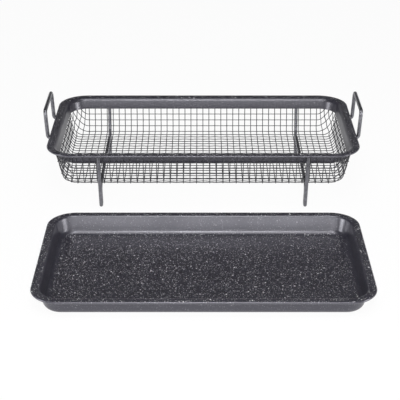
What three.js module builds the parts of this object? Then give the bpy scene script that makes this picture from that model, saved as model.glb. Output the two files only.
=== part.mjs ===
// Oven crisping set: a rimmed sheet pan, and a wire cloth basket that stands behind it on its own legs.
// Millimetres, +Z up, +X along the length of both pieces, origin in the middle of the pan's underside.

import * as THREE from 'three';

// Sheet pan, pressed from one sheet with its edge rolled under
const PAN_LENGTH = 380;
const PAN_WIDTH = 222;
const PAN_HEIGHT = 23.5;
const PAN_SHEET = 1;
const PAN_CORNER_RADIUS = 34;
const PAN_FLANGE = 9.5;
const PAN_ROLL = 3.2;
const PAN_DRAFT = THREE.MathUtils.degToRad(13);
const PAN_FLOOR_BEND = 9;
const PAN_FLANGE_BEND = 2.5;

// Basket rim, a pressed frame of L section whose skirt lies inside the wire cloth
const RIM_LENGTH = 400;
const RIM_WIDTH = 220;
const RIM_HEIGHT = 82;
const RIM_SHEET = 0.9;
const RIM_CORNER_RADIUS = 38;
const RIM_OVERHANG = 9.5;
const RIM_SKIRT = 15;
const RIM_ROLL = 3;
const RIM_BEND = 4;

// Wire cloth, drawn into a tray with leaning walls
const FLOOR_HEIGHT = 34;
const WALL_LEAN = THREE.MathUtils.degToRad(13);
const WALL_BEND = 10;
const CLOTH_WIRE = 1.1;
const CROSS_WIRES = 33;
const LONG_WIRES = 20;
const SELVAGE = 4;
const CORNER_DRAW = 0.2;

// Leg wires, each one wire with a hairpin foot at the front and at the back
const LEG_WIRE = 4.6;
const LEG_SPACING = 0.66 * RIM_LENGTH;
const FOOT_BEND = 3.5;
const LEG_BEND = 5.5;

// Handles, each one wire loop that hooks under the rolled edge
const HANDLE_WIRE = 5;
const HANDLE_SPAN = 76;
const HANDLE_RISE = 34;
const HANDLE_LEAN = 2;
const HANDLE_BEND = 5;
const HANDLE_TAIL = 1.5;

// Place of the basket behind the pan, and the room between pieces that touch
const BASKET_GAP = 40;
const CLEARANCE = 0.3;

// Fineness of the faceted shapes
const BEND_STEPS = 4;
const ROLL_STEPS = 8;
const CORNER_STEPS = 6;
const CLOTH_SIDES = 5;
const WIRE_SIDES = 8;
const CLOTH_STEP = 1.5;
const CLOTH_CHORD = 0.13;

// Finishes: dark speckled non-stick coating on the sheet, grey coating on the wires
const SHEET_FINISH = { color: 0x37383c, roughness: 0.45, metalness: 0.35 };
const CLOTH_FINISH = { color: 0x4a4b4e, roughness: 0.5, metalness: 0.5 };
const WIRE_FINISH = { color: 0x6b6b6e, roughness: 0.4, metalness: 0.6 };

// Closed geometry through rings of equal point counts, capped at both ends or joined end to end
function ringSolid(rings, joined = false) {
  const count = rings[0].length;
  const index = [];
  const links = joined ? rings.length : rings.length - 1;
  for (let row = 0; row < links; row++) {
    const near = row * count;
    const far = ((row + 1) % rings.length) * count;
    for (let i = 0; i < count; i++) {
      const next = (i + 1) % count;
      index.push(near + i, near + next, far + next, near + i, far + next, far + i);
    }
  }
  if (!joined) {
    const last = (rings.length - 1) * count;
    for (let i = 1; i < count - 1; i++) {
      index.push(0, i + 1, i, last, last + i, last + i + 1);
    }
  }
  const geometry = new THREE.BufferGeometry().setFromPoints(rings.flat());
  geometry.setIndex(facingOut(rings.flat(), index));
  geometry.computeVertexNormals();
  return geometry;
}

// Turns every triangle over when the faces point inwards, which gives a negative volume
function facingOut(points, index) {
  let volume = 0;
  for (let i = 0; i < index.length; i += 3) {
    const [a, b, c] = index.slice(i, i + 3).map((k) => points[k]);
    volume += a.dot(b.clone().cross(c));
  }
  return volume < 0 ? index.reverse() : index;
}

// Path through the points, with an arc of the given radius at each inner point
function roundedPath(points, radii) {
  const path = [points[0]];
  for (let i = 1; i < points.length - 1; i++) {
    const back = points[i - 1].clone().sub(points[i]).normalize();
    const ahead = points[i + 1].clone().sub(points[i]).normalize();
    const turn = Math.PI - back.angleTo(ahead);
    const radius = radii[i - 1];
    const inward = back.clone().add(ahead).normalize();
    const centre = points[i].clone().addScaledVector(inward, radius / Math.cos(turn / 2));
    const tangent = radius * Math.tan(turn / 2);
    const from = points[i].clone().addScaledVector(back, tangent).sub(centre);
    const to = points[i].clone().addScaledVector(ahead, tangent).sub(centre);
    for (let step = 0; step <= BEND_STEPS; step++) {
      const angle = (turn * step) / BEND_STEPS;
      const point = centre.clone().addScaledVector(from, Math.sin(turn - angle) / Math.sin(turn));
      path.push(point.addScaledVector(to, Math.sin(angle) / Math.sin(turn)));
    }
  }
  path.push(points.at(-1));
  return path;
}

// Section of a bent sheet whose flange ends in a rolled edge: underside, roll, then the upper side back again.
// The path runs along the middle of the sheet and ends, level, under the top of the roll.
function rolledSheet(path, sheet, roll) {
  const half = sheet / 2;
  const under = [];
  const upper = [];
  path.forEach((point, i) => {
    const before = path[Math.max(i - 1, 0)];
    const after = path[Math.min(i + 1, path.length - 1)];
    const along = after.clone().sub(before).normalize();
    const up = new THREE.Vector2(-along.y, along.x);
    under.push(point.clone().addScaledVector(up, -half));
    upper.unshift(point.clone().addScaledVector(up, half));
  });
  const radius = roll / 2;
  const end = path.at(-1);
  const middle = new THREE.Vector2(end.x, end.y + half - radius);
  const start = Math.PI - Math.asin((radius - sheet) / radius);
  const edge = [];
  for (let step = 0; step < ROLL_STEPS; step++) {
    const angle = start + ((2.5 * Math.PI - start) * step) / ROLL_STEPS;
    edge.push(new THREE.Vector2(middle.x + radius * Math.cos(angle), middle.y + radius * Math.sin(angle)));
  }
  return [...under.slice(0, -1), ...edge, ...upper];
}

// Rounded rectangle that lies the given distance outside a core rectangle
function roundedRing(core, out, height) {
  const radius = Math.max(core.radius + out, CLEARANCE);
  const middleX = core.halfLength + out - radius;
  const middleY = core.halfWidth + out - radius;
  const points = [];
  for (const [signX, signY, start] of [[1, 1, 0], [-1, 1, 0.5], [-1, -1, 1], [1, -1, 1.5]]) {
    for (let step = 0; step <= CORNER_STEPS; step++) {
      const angle = Math.PI * (start + (0.5 * step) / CORNER_STEPS);
      const x = signX * middleX + radius * Math.cos(angle);
      const y = signY * middleY + radius * Math.sin(angle);
      points.push(new THREE.Vector3(x, y, height));
    }
  }
  return points;
}

// Round wire along a path of points
function wireSolid(path, diameter, sides) {
  const rings = [];
  const side = new THREE.Vector3();
  let lastAlong = null;
  path.forEach((point, i) => {
    const before = path[Math.max(i - 1, 0)];
    const after = path[Math.min(i + 1, path.length - 1)];
    const along = after.clone().sub(before).normalize();
    if (lastAlong === null) {
      side.set(0, 0, 1).cross(along);
      if (side.lengthSq() < 0.01) side.set(1, 0, 0).cross(along);
      side.normalize();
    } else {
      side.applyQuaternion(new THREE.Quaternion().setFromUnitVectors(lastAlong, along));
    }
    lastAlong = along;
    const ring = [];
    for (let k = 0; k < sides; k++) {
      const spoke = side.clone().applyAxisAngle(along, (2 * Math.PI * k) / sides);
      ring.push(point.clone().addScaledVector(spoke, diameter / 2));
    }
    rings.push(ring);
  });
  return ringSolid(rings);
}

// Drops the points that lie within the chord error of a straight run
function thinned(path) {
  const first = path[0];
  const last = path.at(-1);
  const chord = new THREE.Line3(first, last);
  let worst = 0;
  let split = 0;
  path.forEach((point, i) => {
    const distance = chord.closestPointToPoint(point, true, new THREE.Vector3()).distanceTo(point);
    if (distance > worst) {
      worst = distance;
      split = i;
    }
  });
  if (worst <= CLOTH_CHORD) return [first, last];
  return [...thinned(path.slice(0, split + 1)).slice(0, -1), ...thinned(path.slice(split))];
}

function piece(name, geometry, finish) {
  const mesh = new THREE.Mesh(geometry, new THREE.MeshStandardMaterial(finish));
  mesh.name = name;
  return mesh;
}

// Sheet pan: floor, leaning wall and flange, measured inwards from the outer edge
function bakingPan() {
  const core = { halfLength: PAN_LENGTH / 2, halfWidth: PAN_WIDTH / 2, radius: PAN_CORNER_RADIUS };
  const floorMiddle = PAN_SHEET / 2;
  const flangeMiddle = PAN_HEIGHT - PAN_SHEET / 2;
  const wallFoot = -PAN_FLANGE - (flangeMiddle - floorMiddle) * Math.tan(PAN_DRAFT);
  const section = roundedPath(
    [
      new THREE.Vector2(wallFoot - 2 * PAN_FLOOR_BEND, floorMiddle),
      new THREE.Vector2(wallFoot, floorMiddle),
      new THREE.Vector2(-PAN_FLANGE, flangeMiddle),
      new THREE.Vector2(-PAN_ROLL / 2, flangeMiddle),
    ],
    [PAN_FLOOR_BEND, PAN_FLANGE_BEND],
  );
  const outline = rolledSheet(section, PAN_SHEET, PAN_ROLL);
  return piece('baking_pan', ringSolid(outline.map((p) => roundedRing(core, p.x, p.y))), SHEET_FINISH);
}

// Where the parts of the basket lie against each other
const clothLayer = (CLOTH_WIRE + CLEARANCE) / 2;
const wallTurn = Math.PI / 2 - WALL_LEAN;
const flangeUnderside = RIM_HEIGHT - RIM_SHEET;
const hemHeight = flangeUnderside - RIM_BEND / 2;
const hem = clothSection(WALL_BEND * wallTurn + wallRise(hemHeight));
const rimCorner = Math.max(RIM_CORNER_RADIUS, RIM_OVERHANG + hem.out);
const clothFloor = {
  halfLength: RIM_LENGTH / 2 - RIM_OVERHANG - hem.out,
  halfWidth: RIM_WIDTH / 2 - RIM_OVERHANG - hem.out,
  radius: rimCorner - RIM_OVERHANG - hem.out,
};

// Straight run of wall cloth from the top of the bend up to a height
function wallRise(height) {
  return (height - FLOOR_HEIGHT - WALL_BEND * (1 - Math.cos(wallTurn))) / Math.cos(WALL_LEAN);
}

// Cloth past the edge of the flat floor: how far out, how high and how steep it is after a run of cloth
function clothSection(run) {
  const turn = Math.min(run / WALL_BEND, wallTurn);
  const straight = run - WALL_BEND * turn;
  return {
    run,
    turn,
    out: WALL_BEND * Math.sin(turn) + straight * Math.sin(WALL_LEAN),
    height: FLOOR_HEIGHT + WALL_BEND * (1 - Math.cos(turn)) + straight * Math.cos(WALL_LEAN),
  };
}

// Point of the drawn cloth that was at (u, v) in the flat cloth, on a layer above or below its middle.
// Floor and walls keep their square cells, and the corners are drawn up along the diagonal.
function clothPoint(u, v, layer) {
  const middleX = clothFloor.halfLength - clothFloor.radius;
  const middleY = clothFloor.halfWidth - clothFloor.radius;
  const pastX = Math.max(Math.abs(u) - middleX, 0);
  const pastY = Math.max(Math.abs(v) - middleY, 0);
  const angle = Math.atan2(pastY, pastX);
  const reach = Math.hypot(pastX, pastY);
  const draw = 1 + CORNER_DRAW * Math.sin(2 * angle) ** 2;
  const section = clothSection(Math.max(reach - clothFloor.radius, 0) * draw);
  const radius = Math.min(reach, clothFloor.radius) + section.out - layer * Math.sin(section.turn);
  return new THREE.Vector3(
    Math.sign(u) * (Math.min(Math.abs(u), middleX) + radius * Math.cos(angle)),
    Math.sign(v) * (Math.min(Math.abs(v), middleY) + radius * Math.sin(angle)),
    section.height + layer * Math.cos(section.turn),
  );
}

// Half of a cloth wire, from its middle until it reaches the hem under the rim
function clothHalf(pointAt) {
  const path = [pointAt(0)];
  for (let way = CLOTH_STEP; path.at(-1).z < hemHeight; way += CLOTH_STEP) {
    path.push(pointAt(way));
  }
  const [below, above] = path.slice(-2);
  path[path.length - 1] = below.clone().lerp(above, (hemHeight - below.z) / (above.z - below.z));
  return path;
}

function clothWire(name, pointAt) {
  const ahead = clothHalf(pointAt);
  const behind = clothHalf((way) => pointAt(-way));
  const path = thinned([...behind.slice(1).reverse(), ...ahead]);
  return piece(name, wireSolid(path, CLOTH_WIRE, CLOTH_SIDES), CLOTH_FINISH);
}

// Wire cloth: cross wires on the outside, long wires on the inside, out to a selvage wire behind the skirt
function wireCloth() {
  const reach = hem.run - SELVAGE;
  const halfLength = clothFloor.halfLength + reach;
  const halfWidth = clothFloor.halfWidth + reach;
  const wires = [];
  for (let i = 0; i < CROSS_WIRES; i++) {
    const u = halfLength * ((2 * i) / (CROSS_WIRES - 1) - 1);
    wires.push(clothWire(`cross_wire_${i + 1}`, (way) => clothPoint(u, way, -clothLayer)));
  }
  for (let j = 0; j < LONG_WIRES; j++) {
    const v = halfWidth * ((2 * j) / (LONG_WIRES - 1) - 1);
    wires.push(clothWire(`long_wire_${j + 1}`, (way) => clothPoint(way, v, clothLayer)));
  }
  return wires;
}

// How far out from the edge of the cloth's floor the wall lies at a height, moved outwards square to the wall
function wallOut(height, outwards) {
  const middle = WALL_BEND * Math.sin(wallTurn) + wallRise(height) * Math.sin(WALL_LEAN);
  return middle + outwards / Math.cos(WALL_LEAN);
}

// Basket rim: skirt inside the cloth, flange over its hem
function basketRim() {
  const inside = -(clothLayer + CLOTH_WIRE / 2 + CLEARANCE + RIM_SHEET / 2);
  const skirtFoot = RIM_HEIGHT - RIM_SKIRT;
  const flangeMiddle = RIM_HEIGHT - RIM_SHEET / 2;
  const section = roundedPath(
    [
      new THREE.Vector2(wallOut(skirtFoot, inside), skirtFoot),
      new THREE.Vector2(wallOut(flangeMiddle, inside), flangeMiddle),
      new THREE.Vector2(hem.out + RIM_OVERHANG - RIM_ROLL / 2, flangeMiddle),
    ],
    [RIM_BEND],
  );
  const outline = rolledSheet(section, RIM_SHEET, RIM_ROLL);
  const rings = outline.map((p) => roundedRing(clothFloor, p.x, p.y));
  return piece('basket_rim', ringSolid(rings, true), SHEET_FINISH);
}

// Leg wire: down the outside of one wall, round a hairpin foot, under the floor, and up the other side alike
function legWire(name, x) {
  const outside = clothLayer + CLOTH_WIRE / 2 + CLEARANCE + LEG_WIRE / 2;
  const top = flangeUnderside - CLEARANCE - (LEG_WIRE / 2) * Math.sin(WALL_LEAN);
  const foot = LEG_WIRE / 2;
  const under = FLOOR_HEIGHT - outside;
  const hairpin = FOOT_BEND * (Math.tan((Math.PI / 2 + WALL_LEAN) / 2) + Math.tan((Math.PI / 2 - WALL_LEAN) / 2));
  const topY = clothFloor.halfWidth + wallOut(top, outside);
  const footY = clothFloor.halfWidth + wallOut(foot, outside);
  const underY = clothFloor.halfWidth + wallOut(under, outside) - hairpin;
  const half = [
    new THREE.Vector3(x, topY, top),
    new THREE.Vector3(x, footY, foot),
    new THREE.Vector3(x, footY - hairpin, foot),
    new THREE.Vector3(x, underY, under),
  ];
  const other = half.map((p) => new THREE.Vector3(p.x, -p.y, p.z)).reverse();
  const bends = [FOOT_BEND, FOOT_BEND, LEG_BEND];
  const path = roundedPath([...half, ...other], [...bends, ...bends.toReversed()]);
  return piece(name, wireSolid(path, LEG_WIRE, WIRE_SIDES), WIRE_FINISH);
}

// Handle: a tail under the flange, a bend round the rolled edge, two uprights and a grip
function handle(name, side) {
  const hook = RIM_ROLL / 2 + CLEARANCE + HANDLE_WIRE / 2;
  const rollMiddle = RIM_LENGTH / 2 - RIM_ROLL / 2;
  const tailHeight = RIM_HEIGHT - RIM_ROLL / 2 - hook;
  const wallFace = clothFloor.halfLength + wallOut(tailHeight, clothLayer + CLOTH_WIRE / 2 + CLEARANCE);
  const tail = wallFace + HANDLE_TAIL;
  const upright = rollMiddle + hook;
  const grip = RIM_HEIGHT + HANDLE_RISE;
  const spread = (HANDLE_SPAN - HANDLE_WIRE) / 2;
  const half = [
    new THREE.Vector3(side * tail, spread, tailHeight),
    new THREE.Vector3(side * upright, spread, tailHeight),
    new THREE.Vector3(side * (upright + HANDLE_LEAN), spread, grip - HANDLE_WIRE / 2),
  ];
  const other = half.map((p) => new THREE.Vector3(p.x, -p.y, p.z)).reverse();
  const path = roundedPath([...half, ...other], [hook, HANDLE_BEND, HANDLE_BEND, hook]);
  return piece(name, wireSolid(path, HANDLE_WIRE, WIRE_SIDES), WIRE_FINISH);
}

const basket = new THREE.Group();
basket.position.y = PAN_WIDTH / 2 + BASKET_GAP + RIM_WIDTH / 2;
basket.add(basketRim(), ...wireCloth());
basket.add(legWire('left_leg_wire', -LEG_SPACING / 2), legWire('right_leg_wire', LEG_SPACING / 2));
basket.add(handle('left_handle', -1), handle('right_handle', 1));

const set = new THREE.Group();
set.add(bakingPan(), basket);

export default set;
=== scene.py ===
import math

import bpy
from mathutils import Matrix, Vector


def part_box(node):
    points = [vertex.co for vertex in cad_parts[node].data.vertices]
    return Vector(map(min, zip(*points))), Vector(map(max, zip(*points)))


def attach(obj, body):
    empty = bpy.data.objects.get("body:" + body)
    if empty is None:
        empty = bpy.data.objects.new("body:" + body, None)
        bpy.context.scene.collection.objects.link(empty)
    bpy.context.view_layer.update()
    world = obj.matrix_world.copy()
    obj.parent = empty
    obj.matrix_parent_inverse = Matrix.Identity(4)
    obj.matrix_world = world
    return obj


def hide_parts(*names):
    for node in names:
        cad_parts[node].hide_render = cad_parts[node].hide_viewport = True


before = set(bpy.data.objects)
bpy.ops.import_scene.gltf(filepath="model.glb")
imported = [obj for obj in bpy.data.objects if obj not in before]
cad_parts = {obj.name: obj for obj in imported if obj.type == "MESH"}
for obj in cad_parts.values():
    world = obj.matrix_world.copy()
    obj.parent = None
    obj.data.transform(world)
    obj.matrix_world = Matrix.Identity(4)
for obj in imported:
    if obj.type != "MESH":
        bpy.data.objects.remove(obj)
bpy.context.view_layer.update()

# Sheet pan: one steel blank pressed into a shallow tray with a leaning wall and a flat flange.
# The edge is rolled under to stiffen it, and a dark speckled non-stick coating is sprayed on all over.
MM = 0.001
pan_lo, pan_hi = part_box("baking_pan")
pan_sheet = 1.0 * MM
pan_corner = 34 * MM
pan_flange = 9.5 * MM
pan_roll = 3.2 * MM
pan_draft = math.radians(13)
pan_floor_bend = 9 * MM
pan_flange_bend = 2.5 * MM
corner_steps = 16
bend_steps = 8
roll_steps = 12
sheet_crease = math.radians(40)
merge_distance = 0.001 * MM


def rolled_edge(top, roll, sheet, turn):
    """Section of a rolled edge from its outermost point, as distances in from the edge and heights."""
    radius = (roll - sheet) / 2
    section = []
    for step in range(roll_steps + 1):
        angle = turn * step / roll_steps
        inset = roll / 2 - radius * math.cos(angle)
        height = top - roll / 2 + radius * math.sin(angle)
        section.append(Vector((inset, height)))
    return section


def bent_section(corners, radii):
    """Section of a bent sheet through its corners, with an arc of the given radius at each inner one."""
    section = [Vector(corners[0])]
    for before, corner, after, radius in zip(corners, corners[1:], corners[2:], radii):
        middle = Vector(corner)
        back = (Vector(before) - middle).normalized()
        ahead = (Vector(after) - middle).normalized()
        turn = math.pi - back.angle(ahead)
        tangent = radius * math.tan(turn / 2)
        centre = middle + (back + ahead).normalized() * radius / math.cos(turn / 2)
        start = (middle + back * tangent - centre) / math.sin(turn)
        end = (middle + ahead * tangent - centre) / math.sin(turn)
        for step in range(bend_steps + 1):
            angle = turn * step / bend_steps
            section.append(centre + start * math.sin(turn - angle) + end * math.sin(angle))
    return section + [Vector(corners[-1])]


def press_rings(section):
    """Presses the selected face inwards, one ring for each step of the section."""
    for near, far in zip(section, section[1:]):
        bpy.ops.mesh.inset(thickness=far.x - near.x, depth=far.y - near.y, use_even_offset=True)


def press_sheet(name, lo, hi, corner, over, under, sheet, open_middle):
    """Sheet pressed from a flat blank along its upper section, its edge rolled along the under one."""
    inset, height = over[0]
    bpy.ops.object.select_all(action="DESELECT")
    bpy.ops.mesh.primitive_plane_add(size=1, location=((lo.x + hi.x) / 2, (lo.y + hi.y) / 2, height))
    pressing = bpy.context.object
    pressing.name = name
    pressing.scale = (hi.x - lo.x - 2 * inset, hi.y - lo.y - 2 * inset, 1)
    bpy.ops.object.transform_apply()
    bpy.ops.object.mode_set(mode="EDIT")
    bpy.ops.mesh.bevel(affect="VERTICES", offset=corner - inset, segments=corner_steps)
    bpy.ops.mesh.duplicate()
    press_rings(under)
    bpy.ops.mesh.delete(type="ONLY_FACE")
    # Only the blank itself has more than four sides
    bpy.ops.mesh.select_face_by_sides(number=4, type="GREATER")
    press_rings(over)
    if open_middle:
        bpy.ops.mesh.delete(type="ONLY_FACE")
    bpy.ops.mesh.select_all(action="SELECT")
    bpy.ops.mesh.remove_doubles(threshold=merge_distance)
    bpy.ops.mesh.normals_make_consistent(inside=False)
    bpy.ops.object.mode_set(mode="OBJECT")
    thickness = pressing.modifiers.new("sheet", "SOLIDIFY")
    thickness.thickness = sheet
    thickness.offset = 0
    thickness.use_even_offset = True
    bpy.ops.object.modifier_apply(modifier=thickness.name)
    bpy.ops.object.shade_smooth_by_angle(angle=sheet_crease)
    return pressing


pan_middle = pan_hi.z - pan_sheet / 2
pan_floor = pan_lo.z + pan_sheet / 2
pan_wall_foot = pan_flange + (pan_middle - pan_floor) * math.tan(pan_draft)
pan_over = rolled_edge(pan_hi.z, pan_roll, pan_sheet, math.pi / 2) + bent_section(
    [
        (pan_flange / 2, pan_middle),
        (pan_flange, pan_middle),
        (pan_wall_foot, pan_floor),
        (pan_wall_foot + pan_floor_bend, pan_floor),
    ],
    [pan_flange_bend, pan_floor_bend],
)
pan_under = rolled_edge(pan_hi.z, pan_roll, pan_sheet, -math.pi)
sheet_pan = press_sheet("sheet_pan", pan_lo, pan_hi, pan_corner, pan_over, pan_under, pan_sheet, False)
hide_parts("baking_pan")
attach(sheet_pan, "pan")


def linear(colour):
    """Linear red, green, blue and alpha of an sRGB hex colour."""
    channels = [int(colour[start:start + 2], 16) / 255 for start in (1, 3, 5)]
    return [c / 12.92 if c <= 0.04045 else ((c + 0.055) / 1.055) ** 2.4 for c in channels] + [1]


def add_node(tree, kind, inputs, **settings):
    """Adds a node with its settings, and sets each input or links it to another node's output."""
    node = tree.nodes.new(kind)
    for name, value in settings.items():
        setattr(node, name, value)
    for name, value in inputs.items():
        if isinstance(value, bpy.types.NodeSocket):
            tree.links.new(value, node.inputs[name])
        else:
            node.inputs[name].default_value = value
    return node


def new_finish(name):
    """Empty material, and its node tree."""
    finish = bpy.data.materials.new(name)
    finish.use_nodes = True
    finish.node_tree.nodes.clear()
    return finish, finish.node_tree


noise_low = 0.3
noise_high = 0.7


def noise_between(tree, noise, least, most):
    """The usual range of a noise, spread between a least and a most value."""
    spread = add_node(
        tree, "ShaderNodeMapRange",
        {
            "Value": noise.outputs["Fac"],
            "From Min": noise_low,
            "From Max": noise_high,
            "To Min": least,
            "To Max": most,
        },
    )
    return spread.outputs[0]


# Sprayed non-stick coating over steel: a satin charcoal film with pale mineral grit under a clear top coat.
# The real grit lies evenly all over. On slopes and bends the grit and the mottle are faded out as painted
# sheen, standing in for the glare that hides them there, so the bends show a smooth sheen.
# Real grit is mostly about 0.5 mm across. It is drawn two to four times as wide, to show in a small picture.
coating_dark = "#0c0b10"
coating_light = "#3a3943"
grit_pale = "#faf9fd"
sheen_tint = "#f3f2fb"
mottle_size = 1.6 * MM
cloud_size = 40 * MM
peel_size = 1.2 * MM
coating_smooth = 0.285
coating_dull = 0.34
coating_shine = 0.9
peel_strength = 0.15
peel_depth = 0.05 * MM
even_mottle = 0.5
# The grit fades out on slopes as painted sheen, told by how far up a face looks: 1 is level and 0 is upright
grit_ends = 0.75
grit_full = 0.98
grit_on_walls = 0.12
grain_core = 0.7
# Spacing, radius and rarity of the fine, the middling and the large grains
grit_sorts = ((1.6 * MM, 0.52 * MM, 1.8), (6.0 * MM, 0.74 * MM, 0.2), (10.5 * MM, 1.0 * MM, 0.1))
speckled_coating, tree = new_finish("speckled_nonstick_coating")
spot = add_node(tree, "ShaderNodeTexCoord", {})
place = spot.outputs["Object"]
facing = add_node(tree, "ShaderNodeSeparateXYZ", {"Vector": spot.outputs["Normal"]})
level_grit_share = add_node(
    tree, "ShaderNodeMapRange",
    {"Value": facing.outputs["Z"], "From Min": grit_ends, "From Max": grit_full, "To Min": grit_on_walls},
)
cloud = add_node(tree, "ShaderNodeTexNoise", {"Vector": place, "Scale": 1 / cloud_size, "Detail": 2.0})
mottle = add_node(tree, "ShaderNodeTexNoise", {"Vector": place, "Scale": 1 / mottle_size, "Detail": 1.0})
# Painted sheen: on slopes the mottle is also evened out, standing in for the glare that smooths the walls
evened = add_node(
    tree, "ShaderNodeMix",
    {"Factor": level_grit_share.outputs[0], "A": even_mottle, "B": noise_between(tree, mottle, 0.0, 1.0)},
)
film = add_node(
    tree, "ShaderNodeMix",
    {"Factor": evened.outputs["Result"], "A": linear(coating_dark), "B": linear(coating_light)},
    data_type="RGBA",
)
for spacing, radius, rarity in grit_sorts:
    grit = add_node(tree, "ShaderNodeTexVoronoi", {"Vector": place, "Scale": 1 / spacing})
    tone = add_node(tree, "ShaderNodeSeparateColor", {"Color": grit.outputs["Color"]})
    odds = add_node(tree, "ShaderNodeMath", {0: tone.outputs["Red"], 1: rarity}, operation="POWER")
    grain = add_node(
        tree, "ShaderNodeMapRange",
        {
            "Value": grit.outputs["Distance"],
            "From Min": grain_core * radius / spacing,
            "From Max": radius / spacing,
            "To Min": 1.0,
            "To Max": 0.0,
        },
    )
    paleness = add_node(
        tree, "ShaderNodeMath", {0: odds.outputs[0], 1: grain.outputs[0]}, operation="MULTIPLY"
    )
    shown = add_node(
        tree, "ShaderNodeMath", {0: paleness.outputs[0], 1: level_grit_share.outputs[0]}, operation="MULTIPLY"
    )
    film = add_node(
        tree, "ShaderNodeMix",
        {"Factor": shown.outputs[0], "A": film.outputs["Result"], "B": linear(grit_pale)},
        data_type="RGBA",
    )
peel = add_node(tree, "ShaderNodeTexNoise", {"Vector": place, "Scale": 1 / peel_size, "Detail": 1.0})
relief = add_node(
    tree, "ShaderNodeBump",
    {"Height": peel.outputs["Fac"], "Strength": peel_strength, "Distance": peel_depth},
)
coated = add_node(
    tree, "ShaderNodeBsdfPrincipled",
    {
        "Base Color": film.outputs["Result"],
        "Roughness": noise_between(tree, cloud, coating_smooth, coating_dull),
        "Specular IOR Level": coating_shine,
        "Specular Tint": linear(sheen_tint),
        "Normal": relief.outputs["Normal"],
    },
)
add_node(tree, "ShaderNodeOutputMaterial", {"Surface": coated.outputs["BSDF"]})
sheet_pan.data.materials.append(speckled_coating)

# Wire cloth: thin steel wires woven over and under each other, then drawn into a tray over a block.
# The floor and walls keep their square cells, the corners are pulled into slanting ones, and the hem ends
# under the rim. It is coated dark grey after it is welded to the rim.
rim_lo, rim_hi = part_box("basket_rim")
basket_middle = (rim_lo + rim_hi) / 2
cloth_wire = 1.1 * MM
cross_wires = 53
long_wires = 32
cloth_floor = 34 * MM
wall_lean = math.radians(13)
wall_bend = 10 * MM
hem_drop = 2.9 * MM
hem_inset = 9.5 * MM
hem_corner = 28.5 * MM
hem_trim = 2.6 * MM
corner_draw = 0.2
selvage = 4 * MM
weld_gap = 0.3 * MM
long_crimp = 0.15 * MM
cross_crimp = cloth_wire - long_crimp
crimp_steps = 4
spare_cells = 4
cloth_crease = math.radians(65)
hem_height = rim_hi.z - hem_drop
cloth_face = (cloth_wire + weld_gap) / 2 + cloth_wire / 2 + weld_gap
wall_turn = math.pi / 2 - wall_lean


def wall_rise(height):
    """Straight run of wall cloth from the top of the bend up to a height."""
    return (height - cloth_floor - wall_bend * (1 - math.cos(wall_turn))) / math.cos(wall_lean)


def wall_out(height, outwards):
    """How far out from the flat floor the wall lies at a height, moved outwards square to the wall."""
    middle = wall_bend * math.sin(wall_turn) + wall_rise(height) * math.sin(wall_lean)
    return middle + outwards / math.cos(wall_lean)


hem_out = wall_out(hem_height, 0)
hem_run = wall_bend * wall_turn + wall_rise(hem_height)
floor_half_length = (rim_hi.x - rim_lo.x) / 2 - hem_inset - hem_out
floor_half_width = (rim_hi.y - rim_lo.y) / 2 - hem_inset - hem_out
floor_corner = hem_corner - hem_out


def drawn_place(flat_x, flat_y, layer):
    """Place in the drawn cloth of a point of the flat cloth, on a layer above or below its middle."""
    middle_x = floor_half_length - floor_corner
    middle_y = floor_half_width - floor_corner
    past_x = max(abs(flat_x) - middle_x, 0)
    past_y = max(abs(flat_y) - middle_y, 0)
    angle = math.atan2(past_y, past_x)
    reach = math.hypot(past_x, past_y)
    run = max(reach - floor_corner, 0) * (1 + corner_draw * math.sin(2 * angle) ** 2)
    turn = min(run / wall_bend, wall_turn)
    straight = run - wall_bend * turn
    out = wall_bend * math.sin(turn) + straight * math.sin(wall_lean)
    height = cloth_floor + wall_bend * (1 - math.cos(turn)) + straight * math.cos(wall_lean)
    radius = min(reach, floor_corner) + out - layer * math.sin(turn)
    x = math.copysign(min(abs(flat_x), middle_x) + radius * math.cos(angle), flat_x)
    y = math.copysign(min(abs(flat_y), middle_y) + radius * math.sin(angle), flat_y)
    return Vector((basket_middle.x + x, basket_middle.y + y, height + layer * math.cos(turn)))


cross_spacing = 2 * (floor_half_length + hem_run - selvage) / (cross_wires - 1)
long_spacing = 2 * (floor_half_width + hem_run - selvage) / (long_wires - 1)


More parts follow.
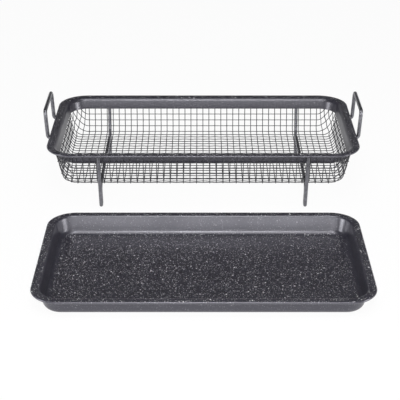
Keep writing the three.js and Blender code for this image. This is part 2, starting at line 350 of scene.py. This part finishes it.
def weave_wires(name, along_x):
    """One set of woven wires: a flat grid of them, crimped, drawn to the tray and cut off at the hem."""
    counts = [cross_wires - 1, long_wires - 1]
    spacing = [cross_spacing, long_spacing]
    run = 0 if along_x else 1
    counts[run] = (counts[run] + spare_cells) * crimp_steps
    spacing[run] /= crimp_steps
    bpy.ops.object.select_all(action="DESELECT")
    bpy.ops.mesh.primitive_grid_add(x_subdivisions=counts[0], y_subdivisions=counts[1], size=1)
    wires = bpy.context.object
    wires.name = name
    wires.scale = (counts[0] * spacing[0], counts[1] * spacing[1], 1)
    bpy.ops.object.transform_apply()
    bpy.ops.object.mode_set(mode="EDIT")
    bpy.ops.mesh.select_mode(type="EDGE")
    bpy.ops.mesh.select_all(action="DESELECT")
    bpy.ops.object.mode_set(mode="OBJECT")
    points = wires.data.vertices
    for edge in wires.data.edges:
        first, second = (points[end].co for end in edge.vertices)
        edge.select = abs(first[run] - second[run]) < spacing[run] / 2
    bpy.ops.object.mode_set(mode="EDIT")
    bpy.ops.mesh.delete(type="EDGE_FACE")
    bpy.ops.object.mode_set(mode="OBJECT")
    crimp = long_crimp if along_x else -cross_crimp
    for point in points:
        flat_x, flat_y, _ = point.co
        cross_wave = math.cos(math.pi * (flat_x / cross_spacing + (cross_wires - 1) / 2))
        long_wave = math.cos(math.pi * (flat_y / long_spacing + (long_wires - 1) / 2))
        point.co = drawn_place(flat_x, flat_y, crimp * cross_wave * long_wave)
    bpy.ops.object.mode_set(mode="EDIT")
    bpy.ops.mesh.select_all(action="SELECT")
    bpy.ops.mesh.bisect(plane_co=(0, 0, hem_height - hem_trim), plane_no=(0, 0, 1), clear_outer=True)
    bpy.ops.object.mode_set(mode="OBJECT")
    bpy.ops.object.convert(target="CURVE")
    wires = bpy.context.object
    wires.data.bevel_depth = cloth_wire / 2
    wires.data.bevel_resolution = 1
    wires.data.use_fill_caps = True
    bpy.ops.object.convert(target="MESH")
    wires = bpy.context.object
    bpy.ops.object.mode_set(mode="EDIT")
    bpy.ops.mesh.select_all(action="SELECT")
    bpy.ops.mesh.remove_doubles(threshold=merge_distance)
    bpy.ops.mesh.normals_make_consistent(inside=False)
    bpy.ops.object.mode_set(mode="OBJECT")
    bpy.ops.object.shade_smooth_by_angle(angle=cloth_crease)
    return wires


woven_cross_wires = weave_wires("woven_cross_wires", False)
woven_long_wires = weave_wires("woven_long_wires", True)
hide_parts(*[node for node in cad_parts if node.startswith("cross_wire_")])
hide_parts(*[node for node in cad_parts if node.startswith("long_wire_")])


def film_finish(name, dark, light, patch, detail, smooth, dull, metal):
    """Steel under a thin film that lies in patches, dark and smooth or light and dull."""
    finish, tree = new_finish(name)
    place = add_node(tree, "ShaderNodeTexCoord", {}).outputs["Object"]
    cloud = add_node(tree, "ShaderNodeTexNoise", {"Vector": place, "Scale": 1 / patch, "Detail": detail})
    film = add_node(
        tree, "ShaderNodeMix",
        {"Factor": cloud.outputs["Fac"], "A": linear(dark), "B": linear(light)},
        data_type="RGBA",
    )
    coated = add_node(
        tree, "ShaderNodeBsdfPrincipled",
        {
            "Base Color": film.outputs["Result"],
            "Roughness": noise_between(tree, cloud, smooth, dull),
            "Metallic": metal,
        },
    )
    add_node(tree, "ShaderNodeOutputMaterial", {"Surface": coated.outputs["BSDF"]})
    return finish


# Coated wire cloth: a thin satin film that lies unevenly, in patches a little smaller than a cell.
# It gives the eye a dark grey with a soft sheen along each wire.
cloth_coating = film_finish(
    "coated_steel_wire_cloth", dark="#2a2a2e", light="#454549", patch=6 * MM, detail=2.0,
    smooth=0.4, dull=0.52, metal=0.2,
)
for wires in (woven_cross_wires, woven_long_wires):
    wires.data.materials.append(cloth_coating)
    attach(wires, "basket")

# Basket rim: a frame of thin steel sheet pressed to an L, with its skirt inside the cloth and its flange
# over the hem. The outer edge is rolled under, and it has the same speckled coating as the pan.
rim_sheet = 0.9 * MM
rim_skirt = 15 * MM
rim_roll = 3 * MM
rim_bend = 6 * MM
skirt_inside = cloth_face + rim_sheet / 2
rim_edge_out = hem_out + hem_inset
rim_middle = rim_hi.z - rim_sheet / 2
skirt_foot = rim_hi.z - rim_skirt
rim_over = rolled_edge(rim_hi.z, rim_roll, rim_sheet, math.pi / 2) + bent_section(
    [
        (hem_inset / 2, rim_middle),
        (rim_edge_out - wall_out(rim_middle, -skirt_inside), rim_middle),
        (rim_edge_out - wall_out(skirt_foot, -skirt_inside), skirt_foot),
    ],
    [rim_bend],
)
rim_under = rolled_edge(rim_hi.z, rim_roll, rim_sheet, -math.pi)
rim_corner = hem_corner + hem_inset
rolled_rim = press_sheet("rolled_rim", rim_lo, rim_hi, rim_corner, rim_over, rim_under, rim_sheet, True)
rolled_rim.data.materials.append(speckled_coating)
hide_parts("basket_rim")
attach(rolled_rim, "basket")

# Leg wires: each is one thick steel wire, bent from the back rim down to a hairpin foot, up and under the
# floor, to a second foot and up to the front rim. It is spot welded to the cloth.
leg_wire = 4.6 * MM
foot_bend = 3.5 * MM
leg_bend = 5.5 * MM
leg_outside = cloth_face + leg_wire / 2
wire_sides = 16
wire_crease = math.radians(50)


def bend_wire(name, corners, radii, diameter):
    """Wire fed straight from corner to corner, and bent round each inner corner by its radius."""
    here = corners[0]
    heading = (corners[1] - here).to_track_quat("Z", "Y").to_euler()
    bpy.ops.object.select_all(action="DESELECT")
    bpy.ops.mesh.primitive_circle_add(
        vertices=wire_sides, radius=diameter / 2, fill_type="NGON", location=here, rotation=heading
    )
    wire = bpy.context.object
    wire.name = name
    bpy.ops.object.transform_apply()
    bpy.ops.object.mode_set(mode="EDIT")
    for before, corner, after, radius in zip(corners, corners[1:], corners[2:], radii):
        back = (before - corner).normalized()
        ahead = (after - corner).normalized()
        turn = math.pi - back.angle(ahead)
        tangent = radius * math.tan(turn / 2)
        centre = corner + (back + ahead).normalized() * radius / math.cos(turn / 2)
        feed = corner + back * tangent - here
        bpy.ops.mesh.extrude_region_move(TRANSFORM_OT_translate={"value": feed})
        bpy.ops.mesh.spin(steps=bend_steps, angle=-turn, center=centre, axis=ahead.cross(back))
        here = corner + ahead * tangent
    bpy.ops.mesh.extrude_region_move(TRANSFORM_OT_translate={"value": corners[-1] - here})
    bpy.ops.mesh.select_all(action="SELECT")
    bpy.ops.mesh.remove_doubles(threshold=merge_distance)
    bpy.ops.mesh.normals_make_consistent(inside=False)
    bpy.ops.object.mode_set(mode="OBJECT")
    bpy.ops.object.shade_smooth_by_angle(angle=wire_crease)
    return wire


def there_and_back(half):
    """Corners of a wire that is the same in front of the basket's middle as behind it."""
    behind = [Vector((x, basket_middle.y + y, z)) for x, y, z in half]
    before = [Vector((x, basket_middle.y - y, z)) for x, y, z in half]
    return behind + before[::-1]


leg_top = rim_hi.z - rim_sheet - weld_gap - leg_wire / 2 * math.sin(wall_lean)
leg_foot = pan_lo.z + leg_wire / 2
leg_under = cloth_floor - leg_outside
hairpin = foot_bend * (math.tan((math.pi / 2 + wall_lean) / 2) + math.tan((math.pi / 2 - wall_lean) / 2))
leg_foot_y = floor_half_width + wall_out(leg_foot, leg_outside)
leg_bends = [foot_bend, foot_bend, leg_bend]
legs = []
for node in ("left_leg_wire", "right_leg_wire"):
    lo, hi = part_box(node)
    x = (lo.x + hi.x) / 2
    half = [
        (x, floor_half_width + wall_out(leg_top, leg_outside), leg_top),
        (x, leg_foot_y, leg_foot),
        (x, leg_foot_y - hairpin, leg_foot),
        (x, floor_half_width + wall_out(leg_under, leg_outside) - hairpin, leg_under),
    ]
    radii = leg_bends + leg_bends[::-1]
    leg = bend_wire(node.replace("wire", "bent"), there_and_back(half), radii, leg_wire)
    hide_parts(node)
    legs.append(leg)

# Handles: each is one thick wire bent to a loop that stands on the short side of the rim.
# Its two ends hook round the rolled edge from outside and are welded under the flange.
handle_wire = 5 * MM
handle_span = 76 * MM
handle_rise = 34 * MM
handle_lean = 2 * MM
handle_bend = 5 * MM
handle_tail = 1.5 * MM
hook = rim_roll / 2 + weld_gap + handle_wire / 2
tail_height = rim_hi.z - rim_roll / 2 - hook
tail_out = floor_half_length + wall_out(tail_height, cloth_face) + handle_tail
upright_out = rim_hi.x - basket_middle.x - rim_roll / 2 + hook
grip_height = rim_hi.z + handle_rise - handle_wire / 2
grip_half = (handle_span - handle_wire) / 2
handles = []
for node, side in (("left_handle", -1), ("right_handle", 1)):
    half = [
        (basket_middle.x + side * tail_out, grip_half, tail_height),
        (basket_middle.x + side * upright_out, grip_half, tail_height),
        (basket_middle.x + side * (upright_out + handle_lean), grip_half, grip_height),
    ]
    radii = [hook, handle_bend, handle_bend, hook]
    handle = bend_wire(node + "_loop", there_and_back(half), radii, handle_wire)
    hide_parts(node)
    handles.append(handle)

# Coated round wire: drawn steel under a thin grey film, smooth enough to show the lamps along its length.
# It gives the eye a mid grey with a bright line on each run, in patches where the film is thin or thick.
wire_coating = film_finish(
    "coated_drawn_steel_wire", dark="#38383d", light="#8e8e94", patch=4 * MM, detail=3.0,
    smooth=0.28, dull=0.38, metal=0.85,
)
for wire in legs + handles:
    wire.data.materials.append(wire_coating)
    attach(wire, "basket")

# Studio: wide white paper with its edges turned up, in a dim pale room. It keeps a faint shadow of the set.
# A small key lamp and a broad softbox light the set from above, a wide softbox and a low strip from the
# front, and two low softboxes from the sides. The camera is square to the long side of the set.
paper_size = 12
paper_edge = 1
paper_tone = "#fafafa"
paper_glow = 0.95
room_tone = "#f8f8fa"
room_light = 0.09
bpy.ops.object.select_all(action="DESELECT")
bpy.ops.mesh.primitive_plane_add(size=1)
paper = bpy.context.object
paper.name = "paper_floor"
bpy.ops.object.mode_set(mode="EDIT")
bpy.ops.transform.resize(value=(paper_size, paper_size, 1))
bpy.ops.mesh.region_to_loop()
bpy.ops.mesh.extrude_edges_move(TRANSFORM_OT_translate={"value": (0, 0, paper_edge)})
bpy.ops.object.mode_set(mode="OBJECT")
paper_white, tree = new_finish("white_paper")
path = add_node(tree, "ShaderNodeLightPath", {})
mirrored = add_node(
    tree, "ShaderNodeMath",
    {0: path.outputs["Is Glossy Ray"], 1: path.outputs["Is Transmission Ray"]},
    operation="MAXIMUM",
)
seen = add_node(
    tree, "ShaderNodeMath", {0: path.outputs["Is Camera Ray"], 1: mirrored.outputs[0]}, operation="MAXIMUM"
)
glow = add_node(tree, "ShaderNodeMath", {0: seen.outputs[0], 1: paper_glow}, operation="MULTIPLY")
matte = add_node(tree, "ShaderNodeBsdfDiffuse", {"Color": linear(paper_tone)})
white = add_node(tree, "ShaderNodeEmission", {"Strength": 1.0})
blend = add_node(
    tree, "ShaderNodeMixShader", {0: glow.outputs[0], 1: matte.outputs[0], 2: white.outputs[0]}
)
add_node(tree, "ShaderNodeOutputMaterial", {"Surface": blend.outputs[0]})
paper.data.materials.append(paper_white)

room = bpy.data.worlds.new("pale_room")
room.use_nodes = True
room.node_tree.nodes.clear()
walls = add_node(
    room.node_tree, "ShaderNodeBackground", {"Color": linear(room_tone), "Strength": room_light}
)
add_node(room.node_tree, "ShaderNodeOutputWorld", {"Surface": walls.outputs[0]})
bpy.context.scene.world = room


def softbox(name, place, aim, width, height, power):
    """Softbox that faces a point."""
    bpy.ops.object.light_add(type="AREA", location=place)
    lamp = bpy.context.object
    lamp.name = name
    lamp.rotation_euler = (Vector(aim) - Vector(place)).to_track_quat("-Z", "Y").to_euler()
    lamp.data.shape = "RECTANGLE"
    lamp.data.size = width
    lamp.data.size_y = height
    lamp.data.energy = power


set_middle = (0, 0.1, 0)
softbox("key_softbox", (0, -0.9, 1.2), set_middle, width=0.25, height=0.25, power=7)
softbox("overhead_softbox", (0, -0.4, 1.3), set_middle, width=0.9, height=0.8, power=9)
softbox("front_softbox", (0, -1.5, 0.78), (0, 0, 0.1), width=2.0, height=0.65, power=11)
softbox("low_front_softbox", (0, -0.9, 0.105), (0, 0.1, 0.03), width=1.4, height=0.1, power=4)
for name, side in (("left_softbox", -1), ("right_softbox", 1)):
    softbox(name, (side * 1.5, -0.55, 0.16), (0, 0.1, 0.1), width=0.6, height=0.3, power=13)

view_target = Vector((-4.1, 132.4, 30)) * MM
view_distance = 1480 * MM
view_pitch = math.radians(25.2)
picture_pixels = 400
focal_pixels = 1181
bpy.ops.object.camera_add()
camera = bpy.context.object
camera.location = view_target + Vector((0, -math.cos(view_pitch), math.sin(view_pitch))) * view_distance
camera.rotation_euler = (math.pi / 2 - view_pitch, 0, 0)
camera.data.lens = focal_pixels * camera.data.sensor_width / picture_pixels
bpy.context.scene.camera = camera
bpy.context.scene.view_settings.view_transform = "Standard"
